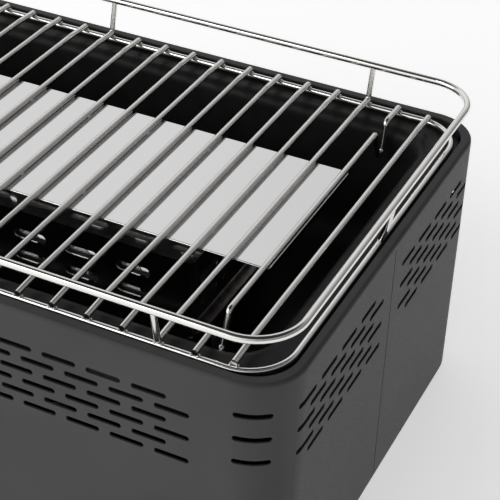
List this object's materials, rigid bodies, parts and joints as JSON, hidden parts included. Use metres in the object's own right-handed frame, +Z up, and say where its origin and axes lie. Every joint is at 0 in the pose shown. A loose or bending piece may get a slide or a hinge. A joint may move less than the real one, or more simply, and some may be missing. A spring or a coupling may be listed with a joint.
{
  "type": "hibachi grill",
  "caption": "Rectangular table-top charcoal hibachi: vented casing, lift-out bowl and basket, rod grate with guard rail and drip plate, fan base.",
  "frame": {"origin": "middle of the whole footprint, control knob included, on the plane of the rubber feet", "axes": "+Z up; X along the long side; -Y towards the control knob"},
  "size_m": [0.5788, 0.3462, 0.2277],
  "materials": {
    "casing_paint": "matte powder coat",
    "bowl_enamel": "satin heat-proof enamel",
    "bright_rod": "bright polished rod",
    "satin_bar": "satin polished rod",
    "polished_sheet": "polished stainless sheet",
    "sheet_steel": "brushed",
    "zinc_steel": "bright zinc",
    "rubber": "matte",
    "black_plastic": "matte",
    "cell_jacket": "gloss",
    "contact": "bright"
  },
  "bodies": {
    "root": {"outer_casing": "casing_paint", "seam_strips": "casing_paint", "bowl_brackets": "casing_paint", "base_plate": "casing_paint", "rubber_feet": "rubber", "base_screws": "zinc_steel", "air_duct": "zinc_steel", "duct_legs": "zinc_steel", "motor_cup": "zinc_steel", "fan_motor": "zinc_steel", "speed_control": "black_plastic", "control_nut": "zinc_steel", "battery_box": "black_plastic", "hinge_pin": "sheet_steel", "battery_cells": "cell_jacket", "battery_contacts": "contact", "wiring": "rubber"},
    "bowl": {"inner_bowl": "bowl_enamel"},
    "tray": {"ignition_tray": "sheet_steel"},
    "basket": {"basket_walls": "polished_sheet", "basket_liner": "sheet_steel", "ash_pan": "polished_sheet", "basket_legs": "sheet_steel"},
    "grate": {"grate_frame": "bright_rod", "guard_rail": "bright_rod", "grate_bars": "satin_bar", "grate_post_bars": "satin_bar", "grate_dip_bars": "satin_bar", "guard_end_posts": "bright_rod", "drip_plate": "polished_sheet", "plate_welds": "polished_sheet"},
    "rotor": {"fan_shaft": "sheet_steel", "fan_impeller": "black_plastic"},
    "knob": {"control_knob": "black_plastic", "knob_shaft": "sheet_steel"},
    "lid": {"battery_lid": "black_plastic"}
  },
  "joints": [
    {"name": "bowl_lift", "type": "slide", "parent": "root", "child": "bowl", "axis": [0, 0, 1], "range_m": [0, 0.12]},
    {"name": "tray_lift", "type": "slide", "parent": "bowl", "child": "tray", "axis": [0, 0, 1], "range_m": [0, 0.11]},
    {"name": "basket_lift", "type": "slide", "parent": "tray", "child": "basket", "axis": [0, 0, 1], "range_m": [0, 0.11]},
    {"name": "grate_lift", "type": "slide", "parent": "basket", "child": "grate", "axis": [0, 0, 1], "range_m": [0, 0.1]},
    {"name": "fan_spin", "type": "hinge", "parent": "root", "child": "rotor", "pos_m": [0, 0.0083, 0.048], "axis": [0, 0, 1], "continuous": true},
    {"name": "speed_turn", "type": "hinge", "parent": "root", "child": "knob", "pos_m": [0, -0.1565, 0.084], "axis": [0, -1, 0], "range_deg": [-270, 0]},
    {"name": "lid_hinge", "type": "hinge", "parent": "root", "child": "lid", "pos_m": [0.18, 0.0428, 0.0269], "axis": [-1, 0, 0], "range_deg": [0, 70]}
  ]
}
